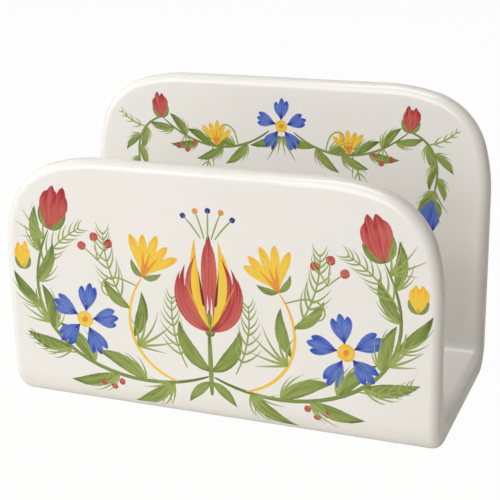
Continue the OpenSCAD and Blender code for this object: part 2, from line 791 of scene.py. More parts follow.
@dataclass(frozen=True)
class FootSizes:
    """The flat foot rim under the base, wiped free of glaze, and the hollow inside it."""

    half_x: float
    half_y: float
    rim_width: float = 7 * MM
    hollow_depth: float = 1.2 * MM
    hollow_corner: float = 9 * MM
    glaze_step: float = 0.1 * MM
    glaze_margin: float = 0.9 * MM
    clay_margin: float = 0.99 * MM
    clay_edge: float = 0.15 * MM
    sunk: float = 0.35 * MM

    def inset(self, place: Vector, distance: float) -> tuple[float, float, Vector]:
        """Moves a point of the foot's border inwards, onto a rounded rectangle.

        Args:
            place: A point of the border rectangle.
            distance: How far inside the border the new rectangle lies.

        Returns:
            The new X and Y, and the way inwards there.
        """
        half_x, half_y = self.half_x - distance, self.half_y - distance
        radius = self.hollow_corner * min(distance / self.rim_width, 1.0)
        x, y = abs(place.x) / self.half_x * half_x, abs(place.y) / self.half_y * half_y
        on_end = self.half_x - abs(place.x) < self.half_y - abs(place.y)
        angle = 0.0 if on_end else QUARTER
        past_x, past_y = x - (half_x - radius), y - (half_y - radius)
        if radius > 0 and past_x > 0 and past_y > 0:
            eighth = QUARTER / 2
            angle = past_y / radius * eighth if on_end else QUARTER - past_x / radius * eighth
            x = half_x - radius + radius * math.cos(angle)
            y = half_y - radius + radius * math.sin(angle)
        sign_x, sign_y = math.copysign(1, place.x), math.copysign(1, place.y)
        inwards = Vector((-sign_x * math.cos(angle), -sign_y * math.sin(angle), 0))
        return sign_x * x, sign_y * y, inwards

    def profile(self) -> list[Point]:
        """Outline of the glazed underside.

        Returns:
            Distances inside the border and the height at each of them.
        """
        rim, step, deep, margin = self.rim_width, self.glaze_step, self.hollow_depth, self.glaze_margin
        slope = ((0.0, 0.36), (0.15, 0.6), (0.4, 0.82), (0.8, 0.95), (1.5, 1.0), (3.0, 1.0), (4.0, 1.0))
        return [
            (0.0, 0.0),
            (0.4 * margin, 0.0),
            (0.7 * margin, 0.2 * step),
            (margin, step),
            (rim - margin, step),
            (rim - 0.5 * margin, 1.1 * step),
            (rim - 0.2 * margin, 0.18 * deep),
            *((rim + past * margin, share * deep) for past, share in slope),
        ]

    def under_base(self, draft: MeshDraft, border: list[int]) -> None:
        """Fills the underside inside its border, with the step of the glaze and the hollow.

        Args:
            draft: The mesh that it goes into.
            border: The numbers of the border's points, in order.
        """
        steps = self.profile()
        last = border
        for number, (distance, height) in enumerate(steps[1:], start=1):
            before, after = steps[number - 1], steps[min(number + 1, len(steps) - 1)]
            slope = (after[1] - before[1]) / (after[0] - before[0])
            loop = []
            for corner in border:
                x, y, inwards = self.inset(draft.points[corner], distance)
                loop.append(draft.point(Vector((x, y, height)), (inwards * slope - UP).normalized()))
            draft.strip(last, loop, closed=True)
            last = loop
        draft.face(last, -UP)

    def rim_band(self, steps_x: int, steps_y: int, name: str) -> bpy.types.Object:
        """Makes the band of bare clay that the holder stands on.

        Args:
            steps_x: Faces along each long side.
            steps_y: Faces along each short side.
            name: The piece's name.

        Returns:
            The band as a closed ring.
        """
        soft, high = self.clay_edge, 0.6 * self.clay_edge
        outer, inner = self.clay_margin, self.rim_width - self.clay_margin
        section = (
            (outer, self.sunk), (outer, high), (outer + soft, 0.0),
            (inner - soft, 0.0), (inner, high), (inner, self.sunk),
        )
        xs, ys = evenly(-self.half_x, self.half_x, steps_x), evenly(-self.half_y, self.half_y, steps_y)
        border = [Vector((x, -self.half_y, 0)) for x in xs[:-1]]
        border += [Vector((self.half_x, y, 0)) for y in ys[:-1]]
        border += [-corner for corner in border]
        ring = bmesh.new()
        loops = []
        for distance, height in section:
            places = [self.inset(corner, distance) for corner in border]
            loops.append([ring.verts.new((x, y, height)) for x, y, _ in places])
        for first, second in zip(loops, [*loops[1:], loops[0]]):
            for here in range(len(border)):
                after = (here + 1) % len(border)
                ring.faces.new((first[here], first[after], second[after], second[here]))
        bmesh.ops.recalc_face_normals(ring, faces=ring.faces)
        mesh = bpy.data.meshes.new(name)
        ring.to_mesh(mesh)
        ring.free()
        return put_in_scene(name, mesh)


class Taper(Enum):
    """How a stroke swells: where it is widest, as a power, and how full its ends are."""

    LEAF = (0.85, 0.95)
    COMMA = (0.45, 0.8)
    PETAL = (1.9, 0.62)
    LINE = (0.8, 0.3)
    DOT = (1.0, 0.55)

    def share(self, along: float) -> float:
        """Share of the full width at a share of the length."""
        power, fullness = self.value
        return max(math.sin(math.pi * along ** power), 0.0) ** fullness


class Paint(Enum):
    """The colours on the palette, in the order in which they are laid on."""

    HAIR_GREEN = 0
    LEAF_GREEN = 1
    YELLOW = 2
    CORAL = 3
    BLUE = 4
    ORANGE = 5
    NAVY = 6
    MAROON = 7


@dataclass(frozen=True)
class Stroke:
    """One stroke of the brush, as a line on the face with a half width at each point."""

    path: tuple[Point, ...]
    half_widths: tuple[float, ...]


@dataclass
class Brush:
    """A brush that lays strokes on a face, in the design's units, with a hand's unevenness."""

    seed: int
    side: int = 1
    steps: int = 34
    wander: float = 2.2
    stretch: float = 0.05
    thinnest: float = 0.06
    strokes: dict[Paint, list[Stroke]] = field(default_factory=dict)

    def __post_init__(self) -> None:
        """Seeds the hand."""
        self.hand = random.Random(self.seed)

    @property
    def shares(self) -> list[float]:
        """Shares of a stroke's length at its points, closer together at both ends."""
        return [eased(step, self.steps) for step in range(self.steps + 1)]

    def sweep(self, start: Point, heading: float, length: float, turn: float, late: float) -> list[Point]:
        """Points of a line that turns on its way.

        Args:
            start: Where the line starts.
            heading: The angle above +X in which it starts, in degrees.
            length: Its length.
            turn: How far it turns in all, in degrees, anticlockwise.
            late: 1 for a steady turn, more for one that tightens towards the end.

        Returns:
            The points.
        """
        x, z = start
        points = [start]
        for before, after in zip(self.shares, self.shares[1:]):
            angle = math.radians(heading + turn * ((before + after) / 2) ** late)
            x += (after - before) * length * math.cos(angle)
            z += (after - before) * length * math.sin(angle)
            points.append((x, z))
        return points

    def stroke(self, paint: Paint, start: Point, heading: float, length: float, half_width: float,
               taper: Taper, turn: float = 0.0, late: float = 1.0) -> Point:
        """Lays one stroke, a little off the way it is asked for.

        Args:
            paint: Its colour.
            start: Where it starts.
            heading: The angle above +X in which it starts, in degrees.
            length: Its length.
            half_width: Half its width where it is widest.
            taper: How it swells.
            turn: How far it turns in all, in degrees, anticlockwise.
            late: 1 for a steady turn, more for one that tightens towards the end.

        Returns:
            Where it ends, on the side that the design is drawn for.
        """
        heading += self.hand.uniform(-self.wander, self.wander)
        length *= 1 + self.hand.uniform(-self.stretch, self.stretch)
        half_width *= 1 + self.hand.uniform(-self.stretch, self.stretch)
        path = self.sweep(start, heading, length, turn, late)
        self.lay(paint, path, half_width, taper)
        return path[-1]

    def lay(self, paint: Paint, path: Sequence[Point], half_width: float, taper: Taper) -> None:
        """Lays a stroke along given points.

        Args:
            paint: Its colour.
            path: The points.
            half_width: Half its width where it is widest.
            taper: How it swells.
        """
        widths = tuple(max(half_width * taper.share(share), self.thinnest) for share in self.shares)
        placed = tuple((self.side * x, z) for x, z in path)
        self.strokes.setdefault(paint, []).append(Stroke(placed, widths))

    def dot(self, paint: Paint, centre: Point, radius: float) -> None:
        """Touches the brush down for a round dot.

        Args:
            paint: Its colour.
            centre: Its middle.
            radius: Its radius.
        """
        heading = self.hand.uniform(0, 360)
        way = math.radians(heading)
        start = (centre[0] - radius * math.cos(way), centre[1] - radius * math.sin(way))
        self.lay(paint, self.sweep(start, heading, 2 * radius, 0.0, 1.0), radius, Taper.DOT)


@dataclass(frozen=True)
class Branch:
    """A branch of the garland, as a cubic curve through the design."""

    knots: tuple[Point, Point, Point, Point]
    probe: float = 0.01

    def at(self, share: float) -> Point:
        """Finds a point of the branch.

        Args:
            share: Its share of the branch.

        Returns:
            The point.
        """
        rest = 1 - share
        weights = (rest ** 3, 3 * rest * rest * share, 3 * rest * share * share, share ** 3)
        x, z = (sum(weight * knot[axis] for weight, knot in zip(weights, self.knots)) for axis in (0, 1))
        return x, z

    def heading(self, share: float) -> float:
        """The angle above +X of the branch at a share of it, in degrees."""
        (x0, z0), (x1, z1) = self.at(share - self.probe), self.at(share + self.probe)
        return math.degrees(math.atan2(z1 - z0, x1 - x0))


@dataclass
class Decoration:
    """Motifs of the painted garland. Sizes are in the design's units, a millimetre each."""

    brush: Brush
    leaf_share: float = 0.115
    leaf_least: float = 0.3
    blade_share: float = 0.018
    blade_least: float = 0.22
    hair_line: float = 0.34
    berry_line: float = 0.28

    def paint_all(self) -> None:
        """Paints both halves and then what stands between them."""
        for side in (-1, 1):
            self.brush.side = side
            self.half()
        self.brush.side = 1
        self.middle()

    def half(self) -> None:
        """One half of the design, which its own class draws."""
        raise NotImplementedError

    def middle(self) -> None:
        """What stands in the middle of the design."""
        raise NotImplementedError

    def leaf(self, start: Point, heading: float, length: float, turn: float = 0.0) -> None:
        """A leaf in one pressed stroke, pointed at both ends."""
        half_width = self.leaf_share * length + self.leaf_least
        self.brush.stroke(Paint.LEAF_GREEN, start, heading, length, half_width, Taper.LEAF, turn)

    def blade(self, start: Point, heading: float, length: float, turn: float) -> None:
        """A narrow blade of grass in one light stroke."""
        half_width = self.blade_share * length + self.blade_least
        self.brush.stroke(Paint.HAIR_GREEN, start, heading, length, half_width, Taper.COMMA, turn)

    def tuft(self, start: Point, heading: float, length: float, count: int, spread: float,
             turn: float) -> None:
        """Blades that part from one foot, the outer ones shorter and more bent.

        Args:
            start: Their foot.
            heading: The way of the middle one, in degrees.
            length: The length of the middle one.
            count: How many there are.
            spread: The angle between the outer ones, in degrees.
            turn: How far the middle one turns, in degrees.
        """
        for number in range(count):
            lean = 2 * number / (count - 1) - 1
            size = length * (1 - 0.32 * lean * lean)
            self.blade(start, heading + 0.5 * spread * lean, size, turn + 0.35 * spread * lean)

    def fern(self, start: Point, heading: float, length: float, turn: float, pairs: int) -> None:
        """A fern frond: thin strokes in pairs along a bent stalk, shorter towards its tip.

        Args:
            start: The stalk's foot.
            heading: The way it starts in, in degrees.
            length: Its length.
            turn: How far it turns, in degrees.
            pairs: How many pairs of strokes it has.
        """
        path = self.brush.sweep(start, heading, length, turn, 1.0)
        self.brush.lay(Paint.HAIR_GREEN, path, self.hair_line, Taper.LINE)
        first, last = 0.3, 0.88
        for share in evenly(first, last, pairs - 1):
            along = eased(share)
            size = length * (0.4 - 0.24 * along)
            for lean in (-1, 1):
                self.blade(path[round(share * self.brush.steps)], heading + turn * along + 52 * lean,
                           size, -44 * lean)

    def tendril(self, start: Point, heading: float, length: float, turn: float) -> None:
        """A hair line that curls up at its end."""
        self.brush.stroke(Paint.HAIR_GREEN, start, heading, length, self.hair_line, Taper.LINE, turn, 2.6)

    def petal(self, paint: Paint, start: Point, heading: float, length: float, half_width: float,
              parts: int = 3) -> None:
        """A petal in strokes side by side, with slits of white between them.

        Args:
            paint: Its colour.
            start: Its root.
            heading: The way of its middle, in degrees.
            length: Its length.
            half_width: Half the width of all strokes together.
            parts: How many strokes it has.
        """
        for number in range(parts):
            lean = number - (parts - 1) / 2
            width = half_width / parts * (1.12 - 0.1 * abs(lean))
            self.brush.stroke(paint, start, heading + 70 * half_width / length * lean,
                              length * (1 - 0.07 * abs(lean)), width, Taper.PETAL,
                              -64 * half_width / length * lean)

    def star_flower(self, centre: Point, petal: float, tilt: float = 0.0) -> None:
        """An open flower of five broad blue petals round a yellow eye.

        Args:
            centre: Its middle.
            petal: The length of a petal.
            tilt: How far its top petal leans to the left, in degrees.
        """
        root = 0.3 * petal
        for number in range(5):
            heading = 90 + tilt + 72 * number
            way = (math.cos(math.radians(heading)), math.sin(math.radians(heading)))
            start = (centre[0] + root * way[0], centre[1] + root * way[1])
            self.petal(Paint.BLUE, start, heading, petal, 0.4 * petal)
            for lean in (-1, 0, 1):
                self.brush.stroke(Paint.NAVY, start, heading + 15 * lean, (0.46 - 0.1 * abs(lean)) * petal,
                                  0.3, Taper.COMMA)
        self.brush.dot(Paint.YELLOW, centre, 0.3 * petal)
        self.brush.dot(Paint.ORANGE, centre, 0.12 * petal)

    def bud(self, paint: Paint, start: Point, heading: float, length: float) -> None:
        """A closed bud of wrapped petals in a green cup.

        Args:
            paint: The petals' colour.
            start: Its foot.
            heading: The way it points, in degrees.
            length: Its length.
        """
        wrapped = ((38, 0.9, 0.13, -52), (17, 1.02, 0.12, -22))
        for lean in (-1, 1):
            for spread, size, width, turn in wrapped:
                self.brush.stroke(paint, start, heading + spread * lean, size * length, width * length,
                                  Taper.PETAL, turn * lean)
        self.brush.stroke(paint, start, heading, 0.86 * length, 0.1 * length, Taper.PETAL)
        for lean in (-1, 1):
            self.leaf(start, heading + 62 * lean, 0.6 * length, -56 * lean)
        self.brush.stroke(Paint.LEAF_GREEN, start, heading, 0.3 * length, 0.12 * length, Taper.COMMA)

    def bell(self, start: Point, heading: float, length: float) -> None:
        """A yellow bell with flared lips and an orange throat.

        Args:
            start: Its foot.
            heading: The way it points, in degrees.
            length: Its length.
        """
        for lean in (-2, -1, 0, 1, 2):
            self.brush.stroke(Paint.YELLOW, start, heading + 15 * lean, length * (1 - 0.03 * abs(lean)),
                              0.105 * length, Taper.PETAL, 7 * lean)
        for lean in (-1, 0, 1):
            self.brush.stroke(Paint.ORANGE, start, heading + 16 * lean, 0.62 * length, 0.045 * length,
                              Taper.COMMA, 6 * lean)
        for lean in (-1, 1):
            self.leaf(start, heading + 84 * lean, 0.5 * length, -58 * lean)

    def berries(self, start: Point, heading: float, reach: float, radius: float) -> None:
        """Three berries on thin stalks.

        Args:
            start: The foot of the stalks.
            heading: The way of the middle one, in degrees.
            reach: The length of the outer ones.
            radius: A berry's radius.
        """
        for lean, longer in ((-34, 1.0), (0, 1.15), (34, 1.0)):
            end = self.brush.stroke(Paint.HAIR_GREEN, start, heading + lean, reach * longer,
                                    self.berry_line, Taper.LINE, 0.4 * lean)
            self.brush.dot(Paint.CORAL, end, radius)

    def leafy(self, branch: Branch, shares: Iterable[float], long: float, short: float) -> None:
        """Leaves in turn on both sides of a branch, with blades between.

        Args:
            branch: The branch.
            shares: Where on it they sit.
            long: A leaf's length at its foot.
            short: A leaf's length at its tip.
        """
        blades = ((60, 0.85), (76, 0.68), (94, 0.5))
        for number, share in enumerate(shares):
            lean = 1 if number % 2 else -1
            size = long + (short - long) * share
            start, heading = branch.at(share), branch.heading(share)
            self.leaf(start, heading + 42 * lean, size, -36 * lean)
            for spread, reach in blades:
                self.blade(start, heading + spread * lean, reach * size, -52 * lean)

    def stem(self, branch: Branch, paint: Paint, half_width: float) -> None:
        """The branch itself, as one long line."""
        self.brush.lay(paint, [branch.at(share) for share in self.brush.shares], half_width, Taper.LINE)


class FrontGarland(Decoration):
    """The garland on the front: two branches that rise from the foot of a tall bloom."""

    branch = Branch(((1, 19), (34, 4), (84, 24), (61, 67)))
    twig = Branch(((13, 15.4), (30, 20), (36, 38), (25, 53)))
    heart = (0, 36)

    def half(self) -> None:
        """One branch with its flowers."""
        branch, twig = self.branch, self.twig
        self.fern(branch.at(0.86), 118, 26, 34, 8)
        self.fern(twig.at(0.72), 52, 30, 40, 9)
        self.fern((9, 21), 62, 27, 34, 8)
        self.fern(branch.at(0.5), -8, 20, 44, 6)
        self.tuft(branch.at(0.14), -50, 13, 5, 70, 20)
        self.tuft(branch.at(0.66), 34, 15, 5, 66, 36)
        self.tuft(twig.at(0.42), 150, 17, 6, 84, -34)
        self.tuft(branch.at(0.97), 40, 14, 5, 70, 20)
        self.stem(branch, Paint.LEAF_GREEN, 0.75)
        self.stem(twig, Paint.YELLOW, 0.6)
        self.leafy(branch, evenly(0.13, 0.93, 8), 22, 16)
        self.leaf(twig.at(0.5), 124, 18, -46)
        self.leaf(twig.at(0.74), 18, 15, 52)
        self.bell(twig.at(1.0), 112, 16)
        self.bud(Paint.CORAL, branch.at(1.0), 106, 16.5)
        self.brush.stroke(Paint.HAIR_GREEN, branch.at(0.66), 44, 14, 0.45, Taper.LINE, 44)
        self.bud(Paint.YELLOW, (72.2, 51), 88, 10)
        self.star_flower((48.5, 34.5), 10.6, 10)
        self.berries((42, 57), 82, 8, 1.7)
        self.berries(branch.at(0.36), 262, 5.5, 1.3)
        self.tendril(twig.at(0.92), 20, 24, -270)

    def middle(self) -> None:
        """The tall bloom, on its own short stem."""
        stroke = self.brush.stroke
        stroke(Paint.LEAF_GREEN, (0, 12), 90, 25, 0.95, Taper.LINE)
        for lean in (-1, 1):
            self.leaf((0, 17), 90 + 118 * lean, 13, 30 * lean)
            self.leaf((0, 21), 90 + 66 * lean, 22, -62 * lean)
            for number, (spread, size) in enumerate(((84, 26), (70, 28.5), (56, 30))):
                stroke(Paint.CORAL, self.heart, 90 + spread * lean, size, 1.8 - 0.1 * number,
                       Taper.LEAF, (-104 + 10 * number) * lean, 0.85)
            for number, (spread, size) in enumerate(((38, 29), (26, 32))):
                stroke(Paint.YELLOW, (0, 37), 90 + spread * lean, size, 1.95 - 0.2 * number,
                       Taper.LEAF, (-52 + 16 * number) * lean)
        for lean in (-1, 0, 1):
            stroke(Paint.CORAL, (1.2 * lean, 39), 90 - 5 * lean, 32 - 2 * abs(lean), 1.5,
                   Taper.PETAL, 9 * lean)
        for lean in (-1, 1):
            stroke(Paint.MAROON, (2.2 * lean, 45), 90 - 7 * lean, 13, 0.5, Taper.COMMA)
            stroke(Paint.ORANGE, (4.4 * lean, 43), 90 - 24 * lean, 13, 0.5, Taper.COMMA)
            self.leaf(self.heart, 90 + 50 * lean, 12, -26 * lean)
        stroke(Paint.LEAF_GREEN, (0, 34), 90, 10, 2.0, Taper.COMMA)
        for lean in (-2, -1, 0, 1, 2):
            tip = stroke(Paint.HAIR_GREEN, (1.3 * lean, 69), 90 - 16 * lean, 10, 0.32, Taper.LINE, -8 * lean)
            self.brush.dot(Paint.ORANGE if lean % 2 else Paint.NAVY, tip, 1.05)


class BackSwag(Decoration):
    """The festoon inside the back wall, with a drop at each end."""

    branch = Branch(((5, 90), (18, 79), (36, 80), (50, 93)))
    drop = Branch(((50, 93), (60, 90), (63, 80), (59, 68)))

    def half(self) -> None:
        """One side of the festoon."""
        branch, drop = self.branch, self.drop
        self.fern(branch.at(0.52), -64, 17, -24, 5)
        self.fern(drop.at(0.3), 8, 12, 40, 4)
        self.tuft(drop.at(0.9), -100, 14, 5, 60, 0)
        for line in (branch, drop):
            self.stem(line, Paint.LEAF_GREEN, 0.5)
        self.leafy(branch, evenly(0.22, 0.88, 6), 13, 11)
        self.leafy(drop, evenly(0.3, 0.92, 4), 11, 9)
        self.bell(branch.at(0.5), 94, 10)
        self.bud(Paint.BLUE, drop.at(1.0), 262, 13)
        self.bud(Paint.CORAL, (50, 92.5), 84, 10)
        self.berries(branch.at(0.78), 262, 5, 1.2)
        self.tendril(branch.at(0.3), 78, 15, -240)

    def middle(self) -> None:
        """The flower between the two sides, with leaves and blades under it."""
        for lean in (-1, 1):
            self.leaf((0, 88), 90 + 118 * lean, 14, -24 * lean)
            self.tuft((0, 88), 90 + 150 * lean, 12, 3, 30, 0)
        self.star_flower((0, 92), 8.2)


@dataclass(frozen=True)
class BrushRibbons:
    """Geometry Nodes that turn stroke lines into thin ribbons lying on a face."""

    lift: float = 0.02 * MM
    step: float = 0.0004 * MM
    sink: float = 0.12 * MM
    raggedness: float = 0.2
    points_around: int = 18
    rough_scale: float = 900.0
    apart_across: float = 1.6
    apart_strokes: float = 7.3
    low_zone: float = 3 * MM
    ray_length: float = 50 * MM

    def build(self) -> bpy.types.NodeTree:
        """Builds the tree, which sweeps a ring along each line and presses it onto the wall.

        Returns:
            The tree.
        """
        sheet, given = open_group(
            "brush_ribbons",
            "GeometryNodeTree",
            {
                "Geometry": "NodeSocketGeometry",
                "Wall": "NodeSocketObject",
                "Ray Start": 0.0,
                "Lowest": 0.0,
                "Points": self.points_around,
                "Lift": self.lift,
                "Step": self.step,
                "Sink": self.sink,
                "Raggedness": self.raggedness,
                "Seed": 0,
                "Finish": "NodeSocketMaterial",
            },
            {"Geometry": "NodeSocketGeometry"},
        )
        place = sheet.add("GeometryNodeInputPosition").outputs[0]
        ring = sheet.add("GeometryNodeCurvePrimitiveCircle", {"Resolution": given["Points"], "Radius": 1.0})
        section, corner = sheet.keep(ring.outputs[0], "POINT", ("VECTOR", place))
        tangent = sheet.add("GeometryNodeInputTangent").outputs[0]
        across_way = sheet.vector("NORMALIZE", sheet.vector("CROSS_PRODUCT", tangent, (0, 1, 0)))
        reach = sheet.scaled(across_way, sheet.add("GeometryNodeInputRadius").outputs[0])
        factor = sheet.add("GeometryNodeSplineParameter").outputs["Factor"]
        line, middle, half, along = sheet.keep(
            given["Geometry"], "POINT", ("VECTOR", place), ("VECTOR", reach), ("FLOAT", factor))
        index = sheet.add("GeometryNodeInputIndex").outputs[0]
        line, number = sheet.keep(line, "CURVE", ("INT", index))
        tube = sheet.add("GeometryNodeCurveToMesh",
                         {"Curve": line, "Profile Curve": section, "Fill Caps": True})

        parts = sheet.split(corner)
        across, level = parts["X"], parts["Y"]
        hit = self.press(sheet, given, middle, half, across, number)
        lifted = sheet.plus(given["Lift"], sheet.times(number, given["Step"]))
        above = sheet.times(sheet.larger(level, 0.0), lifted)
        below = sheet.times(sheet.maths("MINIMUM", level, 0.0), given["Sink"])
        rise = sheet.combine(0.0, sheet.times(sheet.plus(above, below), -1.0), 0.0)
        laid = sheet.add("GeometryNodeSetPosition",
                         {"Geometry": tube.outputs[0], "Position": sheet.vector("ADD", hit, rise)})

        tone = sheet.add("FunctionNodeRandomValue", {"ID": number, "Seed": given["Seed"]}, data_type="FLOAT")
        toned = sheet.store(laid.outputs[0], "tone", "FLOAT", "POINT", tone.outputs[1])
        chart = sheet.combine(along, sheet.times_plus(across, 0.5, 0.5), 0.0)
        charted = sheet.store(toned, "UVMap", "FLOAT2", "CORNER", chart)
        real = sheet.add("GeometryNodeRealizeInstances", {"Geometry": charted})
        dressed = sheet.add("GeometryNodeSetMaterial",
                            {"Geometry": real.outputs[0], "Material": given["Finish"]})
        sheet.add("NodeGroupOutput", {0: dressed.outputs[0]})
        return sheet.tree

    def press(self, sheet: NodeSheet, given: bpy.types.NodeOutputs, middle: Socket, half: Socket,
              across: Socket, number: Socket) -> Socket:
        """Finds where each point of a ragged ribbon meets the wall.

        Args:
            sheet: The tree's sheet.
            given: The tree's inputs.
            middle: The point of the line.
            half: The way to the ribbon's side, as long as half its width.
            across: How far across the ribbon the point is, from -1 to 1.
            number: The stroke's number.

        Returns:
            The place on the wall. Points never fall below the wall's lowest height.
        """
        apart = sheet.combine(0.0, sheet.times(across, self.apart_across),
                              sheet.times(number, self.apart_strokes))
        rough = sheet.cloud(sheet.vector("ADD", sheet.scaled(middle, self.rough_scale), apart), 1.0)
        ragged = sheet.times(sheet.minus(rough, 0.5), given["Raggedness"])
        wide = sheet.times(across, sheet.plus(ragged, 1.0))
        flat = sheet.split(sheet.vector("ADD", middle, sheet.scaled(half, wide)))
        height = sheet.maths("SMOOTH_MAX", flat["Z"], given["Lowest"], self.low_zone)
        wall = sheet.add("GeometryNodeObjectInfo", {"Object": given["Wall"]}, transform_space="RELATIVE")
        ray = sheet.add("GeometryNodeRaycast", {
            "Target Geometry": wall.outputs["Geometry"],
            "Source Position": sheet.combine(flat["X"], given["Ray Start"], height),
            "Ray Direction": (0, 1, 0),
            "Ray Length": self.ray_length,
        })
        return ray.outputs["Hit Position"]


@dataclass(frozen=True)
class PaintedFace:
    """A face that takes paint: the wall under it, its Y and the way it looks."""

    wall: bpy.types.Object
    name: str
    y: float
    unit: float
    surface: PressedSurface
    ribbon: BrushRibbons
    hair_points: int = 10
    ray_reach: float = 3 * MM
    lowest: float = 3.8 * MM
    layer: float = 0.012 * MM

    def lines(self, strokes: Sequence[Stroke], name: str) -> bpy.types.Object:
        """Draws the strokes as flat curves in front of the wall.

        Args:
            strokes: The strokes.
            name: The name of the curves' object.

        Returns:
            The object, which is removed once its ribbons are made.
        """
        curve = bpy.data.curves.new(name, "CURVE")
        curve.dimensions = "3D"
        for stroke in strokes:
            spline = curve.splines.new("POLY")
            spline.points.add(len(stroke.path) - 1)
            for point, (x, z), half_width in zip(spline.points, stroke.path, stroke.half_widths):
                point.co = (x * self.unit, self.y - self.ray_reach, z * self.unit, 1.0)
                point.radius = half_width * self.unit
        return put_in_scene(name, curve)

    def ribbons(self, strokes: Sequence[Stroke], paint: Paint, tree: bpy.types.NodeTree,
                finish: bpy.types.Material) -> bpy.types.Object:
        """Lays all strokes of one colour on the wall.

        Args:
            strokes: The strokes.
            paint: Their colour.
            tree: The Geometry Nodes that make the ribbons.
            finish: The colour's material.

        Returns:
            The ribbons as one plain mesh that shades like the wall under it.
        """
        name = f"{self.name}_{paint.name.lower()}_strokes"
        lines = self.lines(strokes, name + "_lines")
        modifier = lines.modifiers.new("ribbons", "NODES")
        modifier.node_group = tree
        inputs = {
            "Wall": self.wall,
            "Ray Start": self.y - self.ray_reach,
            "Lowest": self.lowest,
            "Points": self.hair_points if paint is Paint.HAIR_GREEN else self.ribbon.points_around,
            "Lift": self.ribbon.lift + self.layer * paint.value,
            "Seed": paint.value,
            "Finish": finish,
        }
        for item in tree.interface.items_tree:
            if item.in_out == "INPUT" and item.name in inputs:
                modifier[item.identifier] = inputs[item.name]
        evaluated = lines.evaluated_get(bpy.context.evaluated_depsgraph_get())
        mesh = bpy.data.meshes.new_from_object(evaluated)
        mesh.name = name
        bpy.data.objects.remove(lines)
        self.shade_like_wall(mesh)
        return put_in_scene(name, mesh)

    def shade_like_wall(self, mesh: bpy.types.Mesh) -> None:
        """Turns all faces of the ribbons out and gives them the wall's own normals.

        Args:
            mesh: The ribbons.
        """
        ribbon = bmesh.new()
        ribbon.from_mesh(mesh)
        bmesh.ops.recalc_face_normals(ribbon, faces=ribbon.faces)
        ribbon.to_mesh(mesh)
        ribbon.free()
        front = Vector((0, -1, 0))
        places = [Vector((point.co.x, self.y, point.co.z)) for point in mesh.vertices]
        shade(mesh, [self.surface.settle(place, front)[1] for place in places])


@dataclass(frozen=True)
class GlazeSkin:
    """What every glazed surface has: slow waves and a fine orange-peel skin."""

    wave_scale: float = 75.0
    wave_height: float = 0.06 * MM
    peel_scale: float = 620.0
    peel_height: float = 0.004 * MM

    def group(self) -> bpy.types.NodeTree:
        """Builds the shared group.

        Returns:
            The group, which puts out the skin's height.
        """
        sheet, given = open_group("glaze_surface", "ShaderNodeTree", {"Wave": 1.0, "Peel": 1.0},
                                  {"Height": "NodeSocketFloat"})
        place = sheet.object_place()
        wave = sheet.times(sheet.cloud(place, self.wave_scale, 1.0), given["Wave"])
        peel = sheet.times(sheet.cloud(place, self.peel_scale, 1.5), given["Peel"])
        height = sheet.plus(sheet.times(wave, self.wave_height), sheet.times(peel, self.peel_height))
        sheet.add("NodeGroupOutput", {0: height})
        return sheet.tree


@dataclass(frozen=True)
class BrushMarks:
    """Marks of a loaded brush: streaks along the stroke, pools at its rim and a frayed edge.

    A pair with a window's name holds the values at which that mark starts and is full.
    """

    broad_scales: Span = (1.6, 3.2)
    fine_scales: Span = (3.0, 17.0)
    broad_window: Span = (0.32, 0.68)
    fine_window: Span = (0.3, 0.7)
    fine_share: float = 0.4
    strokes_apart: float = 53.0
    rim_window: Span = (0.62, 0.96)
    rim_share: float = 0.6
    tip_window: Span = (0.62, 1.0)
    root_window: Span = (0.2, 0.0)
    stroke_tone: float = 0.3
    cover_window: Span = (0.0, 0.6)
    fray_scale: float = 1500.0
    fray: float = 0.16
    fade_window: Span = (1.08, 0.99)

    def group(self) -> bpy.types.NodeTree:
        """Builds the shared group.

        Returns:
            The group, which puts out the paint's density and its cover.
        """
        sheet, given = open_group(
            "brush_marks",
            "ShaderNodeTree",
            {"Streaks": 0.5, "Pooling": 0.4, "Thinnest": 0.75},
            {"Density": "NodeSocketFloat", "Coverage": "NodeSocketFloat"},
        )
        chart = sheet.split(sheet.add("ShaderNodeUVMap", uv_map="UVMap").outputs[0])
        along, across = chart["X"], chart["Y"]
        tone = sheet.carried("tone")
        apart = sheet.times(tone, self.strokes_apart)
        broad_place, fine_place = (
            sheet.combine(sheet.times(along, scales[0]), sheet.times(across, scales[1]), apart)
            for scales in (self.broad_scales, self.fine_scales)
        )
        broad = sheet.ease(sheet.cloud(broad_place, 1.0, 2.0), *self.broad_window)
        fine = sheet.ease(sheet.cloud(fine_place, 1.0, 3.0), *self.fine_window)
        streak = sheet.times_plus(broad, 1 - self.fine_share, sheet.times(fine, self.fine_share))
        from_middle = sheet.times(sheet.maths("ABSOLUTE", sheet.minus(across, 0.5)), 2.0)
        rim = sheet.times(sheet.ease(from_middle, *self.rim_window), self.rim_share)
        ends = sheet.larger(sheet.ease(along, *self.tip_window), sheet.ease(along, *self.root_window))
        pooled = sheet.times(sheet.larger(rim, ends), given["Pooling"])
        streaked = sheet.times(streak, given["Streaks"])
        shade_share = sheet.times(tone, self.stroke_tone)
        density = sheet.plus(sheet.plus(pooled, streaked), shade_share, clamp=True)
        spare = sheet.minus(1.0, given["Thinnest"])
        cover = sheet.times_plus(sheet.ease(density, *self.cover_window), spare, given["Thinnest"])
        frayed = sheet.times_plus(sheet.cloud(sheet.object_place(), self.fray_scale), self.fray, from_middle)
        fade = sheet.ease(frayed, *self.fade_window)
        sheet.add("NodeGroupOutput", {0: density, 1: sheet.times(cover, fade)})
        return sheet.tree


